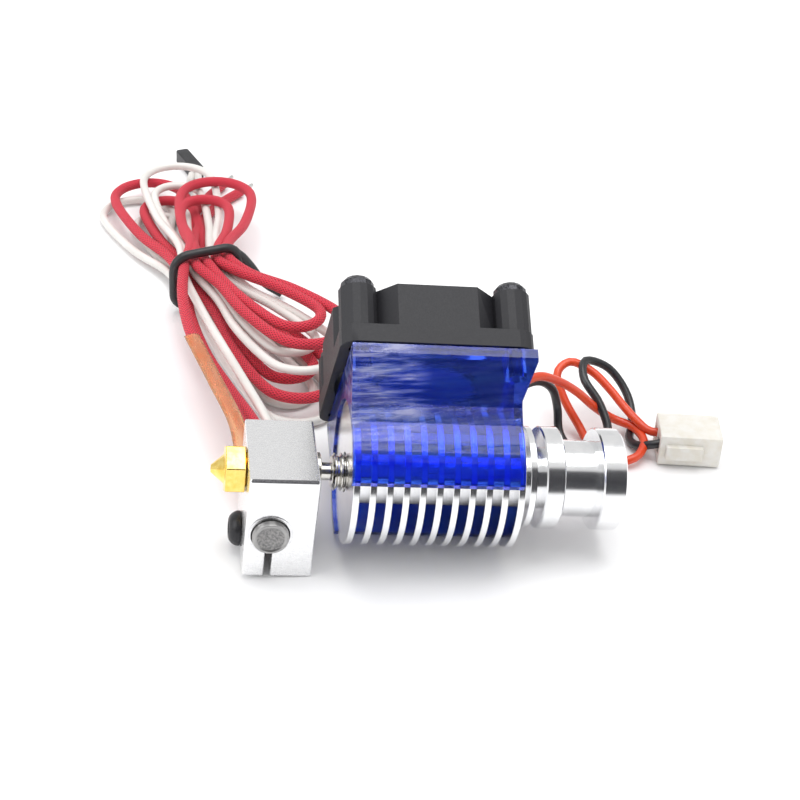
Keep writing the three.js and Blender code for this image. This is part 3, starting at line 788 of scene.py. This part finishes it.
# For each layer of the hank, from the floor up: the outer and inner tips of its far and near loops.
FAR_TIPS = (((-34.5, 115, 1.1), (-29, 108, 1.1)), ((-31.5, 119, 3.1), (-27, 111, 3.1)),
            ((-24.5, 123, 5.1), (-24.5, 114, 5.1)), ((-15.5, 112, 7.0), (-18.5, 104, 7.0)))
NEAR_TIPS = (((-1.4, 32.4, 1.1), (-3.8, 38, 1.1)), ((-0.6, 36, 3.9), (-3.4, 42, 3.9)),
             ((0.6, 40.4, 6.9), (-2.4, 46, 6.9)), ((2.4, 44.6, 9.9), (-0.8, 50, 9.9)))
# Which place across the tie each pass of a lead takes: it winds inwards, so its loops nest.
PLACES = (-2, 2, -1, 1, 0)


def tie_point(layer, place):
    flat = TIE + TIE_SIDE * (STRAND_PITCH * place)
    return Vector((flat.x, flat.y, TIE_FLOOR + STRAND_PITCH * layer))


def teardrop(layer, start, end, tip, radius):
    """The open loop from one place at the tie round a tip and back to another place."""
    tip = Vector(tip)
    middle = Vector((TIE.x, TIE.y, tip.z))
    along = (tip - middle).normalized()
    side = Vector((along.y, -along.x, 0))
    hand = 1 if side.dot(TIE_SIDE) * (start - end) > 0 else -1
    centre = tip - along * radius
    lift = TIE_FLOOR + STRAND_PITCH * layer - tip.z
    out = []
    for share, spread, height in ((0.3, 0.5, 0.6), (0.62, 0.86, 0.15)):
        base = middle.lerp(centre, share)
        out.append(base + side * (hand * radius * spread) + Vector((0, 0, lift * height)))
    back = [p - side * (2 * (p - middle).dot(side)) for p in out]
    turns = [math.pi * k / 6 for k in range(7)]
    bend = [centre + side * (hand * radius * math.cos(t)) + along * (radius * math.sin(t)) for t in turns]
    return out + bend + back[::-1]


def wound_lead(layer, start, end):
    """One lead: from the block to the tie, round its loops, and out to its free end."""
    far_outer, far_inner = FAR_TIPS[layer]
    near_outer, near_inner = NEAR_TIPS[layer]
    steps = ((far_outer, 7.2), (near_outer, 7.0), (far_inner, 4.8), (near_inner, 4.6))
    line = list(start) + [tie_point(layer, PLACES[0])]
    for k, (tip, radius) in enumerate(steps):
        line += teardrop(layer, PLACES[k], PLACES[k + 1], tip, radius)
        line.append(tie_point(layer, PLACES[k + 1]))
    return spline(line + list(end))


# Each lead of the hank: its layer, its way in from the block, and its way out to its free end.
HEATER_A = (3, [
    (-12.6, 9.4, 8.2), (-13, 13, 8.6), (-14.6, 20, 9), (-18.5, 34, 9.2), (-22, 47, 9), (-23.6, 60, 9.4),
], [
    (-21, 84, 7), (-20.5, 95, 4), (-18, 106, 2.2), (-14.5, 114, 1.2), (-10.5, 119, 1.1),
])
HEATER_B = (1, [
    (-10.4, 9.4, 8.2), (-10.8, 13, 8.4), (-12.4, 21, 8.4), (-16.4, 35, 6.8), (-19.8, 48, 5.4),
    (-22.2, 61, 5.2),
], [
    (-21, 84, 4.4), (-22, 96, 3.2), (-20.5, 107, 2.2), (-17.5, 116, 1.3), (-14, 122.5, 1.1),
])
SENSOR_A = (2, [
    (-7.9, 8.2, 7.8), (-8.2, 12, 8), (-9.8, 20, 8.4), (-14, 35, 8.6), (-17.4, 48, 8), (-20.6, 61, 7.4),
], [
    (-20.5, 84, 6), (-22, 96, 4), (-21.5, 108, 2.6), (-19.5, 119, 1.6), (-19.4, 127.2, 1.6),
])
SENSOR_B = (0, [
    (-6.2, 8.2, 7.8), (-6.3, 12, 7.8), (-7.8, 20, 6.6), (-12, 35, 3.8), (-15.8, 48, 2.4), (-19.6, 61, 2.6),
], [
    (-22, 84, 2.4), (-25, 96, 1.4), (-25, 108, 0.9), (-22, 119, 0.9), (-20.6, 126.8, 1.4),
])
HEATER_LEAD = 2.0
SENSOR_LEAD = 1.6
FAN_LEAD = 1.5


def leads():
    red = woven_sleeve("red_glass_sleeve", (0.42, 0.006, 0.02), (0.86, 0.03, 0.07))
    white = smooth_lead("white_lead_skin", (0.68, 0.66, 0.63), (0.78, 0.76, 0.73), (0.35, 0.55))
    heater_a, heater_b = wound_lead(*HEATER_A), wound_lead(*HEATER_B)
    sensor_a, sensor_b = wound_lead(*SENSOR_A), wound_lead(*SENSOR_B)
    plug = sensor_plug()
    tip_a = bare_tip("heater_tip_a", heater_a)
    tip_b = bare_tip("heater_tip_b", heater_b)
    cord_piece("heater_lead_a", heater_a, HEATER_LEAD, red,
               ["heater_lead_a", "lead_hank"])
    cord_piece("heater_lead_b", heater_b, HEATER_LEAD, red, ["heater_lead_b"])
    for name, line in (("sensor_lead_a", sensor_a), ("sensor_lead_b", sensor_b)):
        cord_piece(name, line, SENSOR_LEAD, white, [name])


def bare_tip(name, line):
    """The stripped and tinned end of a lead, 4 mm long."""
    direction = (line[-1] - line[-3]).normalized()
    direction.z = 0
    points = even([line[-1] - direction * 1.0, line[-1] + direction * 4.0], 0.5)
    mesh = tube_mesh(name, points, 0.45, 12)
    tin = bright_steel(name + "_tin", (0.7, 0.7, 0.68), (0.25, 0.45))
    return piece(name, mesh, [tin], STAND, smooth=60)


def sensor_plug():
    outline = chamfered([(-1.4, -5), (1.4, -5), (1.4, 5), (-1.4, 5)], 0.35)
    mesh = prism_mesh("sensor_plug", outline, 0.1, 2.9, axis="z")
    turn = Matrix.Translation((-21, 131.4, 0)) @ Matrix.Rotation(0.35, 4, "Z")
    black = moulded_plastic("plug_plastic", (0.015, 0.015, 0.017), (0.03, 0.03, 0.034),
                            (0.35, 0.55), 3, 0.00005)
    return piece("sensor_plug", mesh, [black], STAND @ turn, stands_for=["sensor_plug"],
                 bevel=0.25)


def tie_ring():
    black = smooth_lead("tie_rubber", (0.012, 0.012, 0.014), (0.03, 0.03, 0.033), (0.35, 0.6))
    half, low, high, corner = 6.6, 1.0, 11.8, 3.0
    wide, top, bottom = half - corner, high - corner, low + corner
    section = [*arc(wide, top, corner, 0, 90, 6), *arc(-wide, top, corner, 90, 180, 6),
               *arc(-wide, bottom, corner, 180, 270, 6), *arc(wide, bottom, corner, 270, 360, 6)]
    ring = [Vector((TIE.x, TIE.y, z)) + TIE_SIDE * s for s, z in section]
    mesh = tube_mesh("hank_tie", even(ring + [ring[0]], 0.8)[:-1], 0.85, closed=True)
    piece("hank_tie", mesh, [black], STAND, stands_for=["hank_tie"], smooth=60)
    tail = spline([
        ring[2],
        ring[0] + TIE_SIDE * 0.6 + Vector((0, 0, 0.6)),
        TIE + TIE_SIDE * 9 + Vector((0, 0, 7)),
        TIE + TIE_SIDE * 12 + Vector((0, -1, 3)),
        TIE + TIE_SIDE * 15.5 + Vector((0, -3, 1.1)),
    ])
    loose = tube_mesh("hank_tie_tail", even(tail, 0.8), 0.8)
    piece("hank_tie_tail", loose, [black], STAND, smooth=60)


def amber_sleeve():
    line = spline([(-14.9, 10.5, 10.3), (-15.6, 18, 10.9), (-18.6, 31, 10.7), (-22.3, 46, 10.6)], 12)
    points = even(line, 1.0)
    half = 1.35
    verts, faces = [], []
    for i, p in enumerate(points):
        ahead = points[min(i + 1, len(points) - 1)] - points[max(i - 1, 0)]
        side = Vector((ahead.y, -ahead.x, 0)).normalized()
        for s in (-1, -0.5, 0, 0.5, 1):
            verts.append(p + side * (half * s) + Vector((0, 0, 0.35 * (1 - s * s) - 0.2)))
    for i in range(len(points) - 1):
        for k in range(4):
            a = i * 5 + k
            faces.append((a, a + 1, a + 6, a + 5))
    mesh = bpy.data.meshes.new("amber_sleeve")
    mesh.from_pydata(verts, [], faces)
    clean_normals(mesh)
    obj = piece("amber_sleeve", mesh, [amber_film()], STAND, stands_for=["amber_sleeve"],
                smooth=60)
    obj.modifiers.new("thick", "SOLIDIFY").thickness = 0.25


# The fan's leads lie in a loose tangle beside the top flange, then run into the connector.
FAN_RED = [
    (28.4, 20.2, 12.6), (31.2, 21.8, 14.8), (34.5, 23.4, 15.4), (38.4, 25.4, 13.2), (42.8, 27.4, 9.4),
    (46.6, 28.6, 5.4), (50.2, 28.8, 2.8), (53.4, 26.6, 2.4), (54.3, 22.4, 2.2), (52.0, 18.8, 1.6),
    (48.0, 18.6, 1.0), (45.2, 22.4, 1.0), (44.0, 27.4, 2.2), (41.8, 31.8, 5.2), (41.0, 35.4, 8.2),
    (43.6, 37.4, 9.2), (47.2, 35.8, 8.2), (50.0, 32.8, 6.4), (52.0, 29.8, 4.8), (53.8, 26.6, 3.8),
    (55.4, 24.4, 3.2), (57.4, 23.6, 3.2),
]
FAN_BLACK = [
    (28.4, 22.4, 9.4), (31.6, 24.4, 12.2), (35.4, 26.8, 12.2), (38.6, 28.6, 9.4), (40.0, 28.8, 5.4),
    (40.2, 26.0, 2.0), (41.8, 22.6, 0.9), (45.4, 21.2, 1.0), (48.2, 24.0, 2.8), (47.4, 28.8, 6.0),
    (45.2, 32.8, 8.6), (46.2, 37.0, 9.6), (50.6, 37.4, 7.8), (53.6, 33.8, 4.6), (53.8, 29.0, 1.9),
    (52.6, 25.4, 0.9), (53.2, 22.6, 1.4), (55.0, 21.0, 2.6), (57.2, 20.6, 3.2),
]


def fan_leads():
    red_skin = smooth_lead("red_lead_skin", (0.66, 0.045, 0.01), (0.78, 0.08, 0.02), (0.25, 0.4))
    black_skin = smooth_lead("black_lead_skin", (0.012, 0.012, 0.014), (0.022, 0.022, 0.026),
                             (0.25, 0.42))
    for name, points, skin, slot in (("fan_lead_red", FAN_RED, red_skin, "red_lead"),
                                     ("fan_lead_black", FAN_BLACK, black_skin, "black_lead")):
        cord_piece(name, spline(points), FAN_LEAD, skin, [name])
    nylon = Nodes("connector_nylon", (0.93, 0.9, 0.83), 0.35)
    cloud = nylon.noise(nylon.position((1000, 1000, 1000)), 0.6, 3)
    nylon.drive(nylon.blend(cloud, (0.9, 0.86, 0.77), (0.97, 0.95, 0.9)), "Base Color")
    nylon.drive(nylon.band(cloud, 0.3, 0.7, 0.28, 0.45), "Roughness")
    nylon.set("Transmission Weight", 0.25)
    nylon.set("IOR", 1.5)
    cad_finish("connector_housing", nylon.material, 0.25)
    tin = small_metal("terminal_tin", (0.6, 0.59, 0.56), (0.78, 0.77, 0.73), 0.3, 1)
    cad_finish("connector_terminal_1", tin, 0)
    cad_finish("connector_terminal_2", tin, 0)


camera()
studio()
leads()
fan_leads()
tie_ring()
amber_sleeve()
heatsink()
heater_block()
heater_cartridge()
clamp_screw()
nozzle()
heat_break()
fan_and_duct()
inside_pieces()
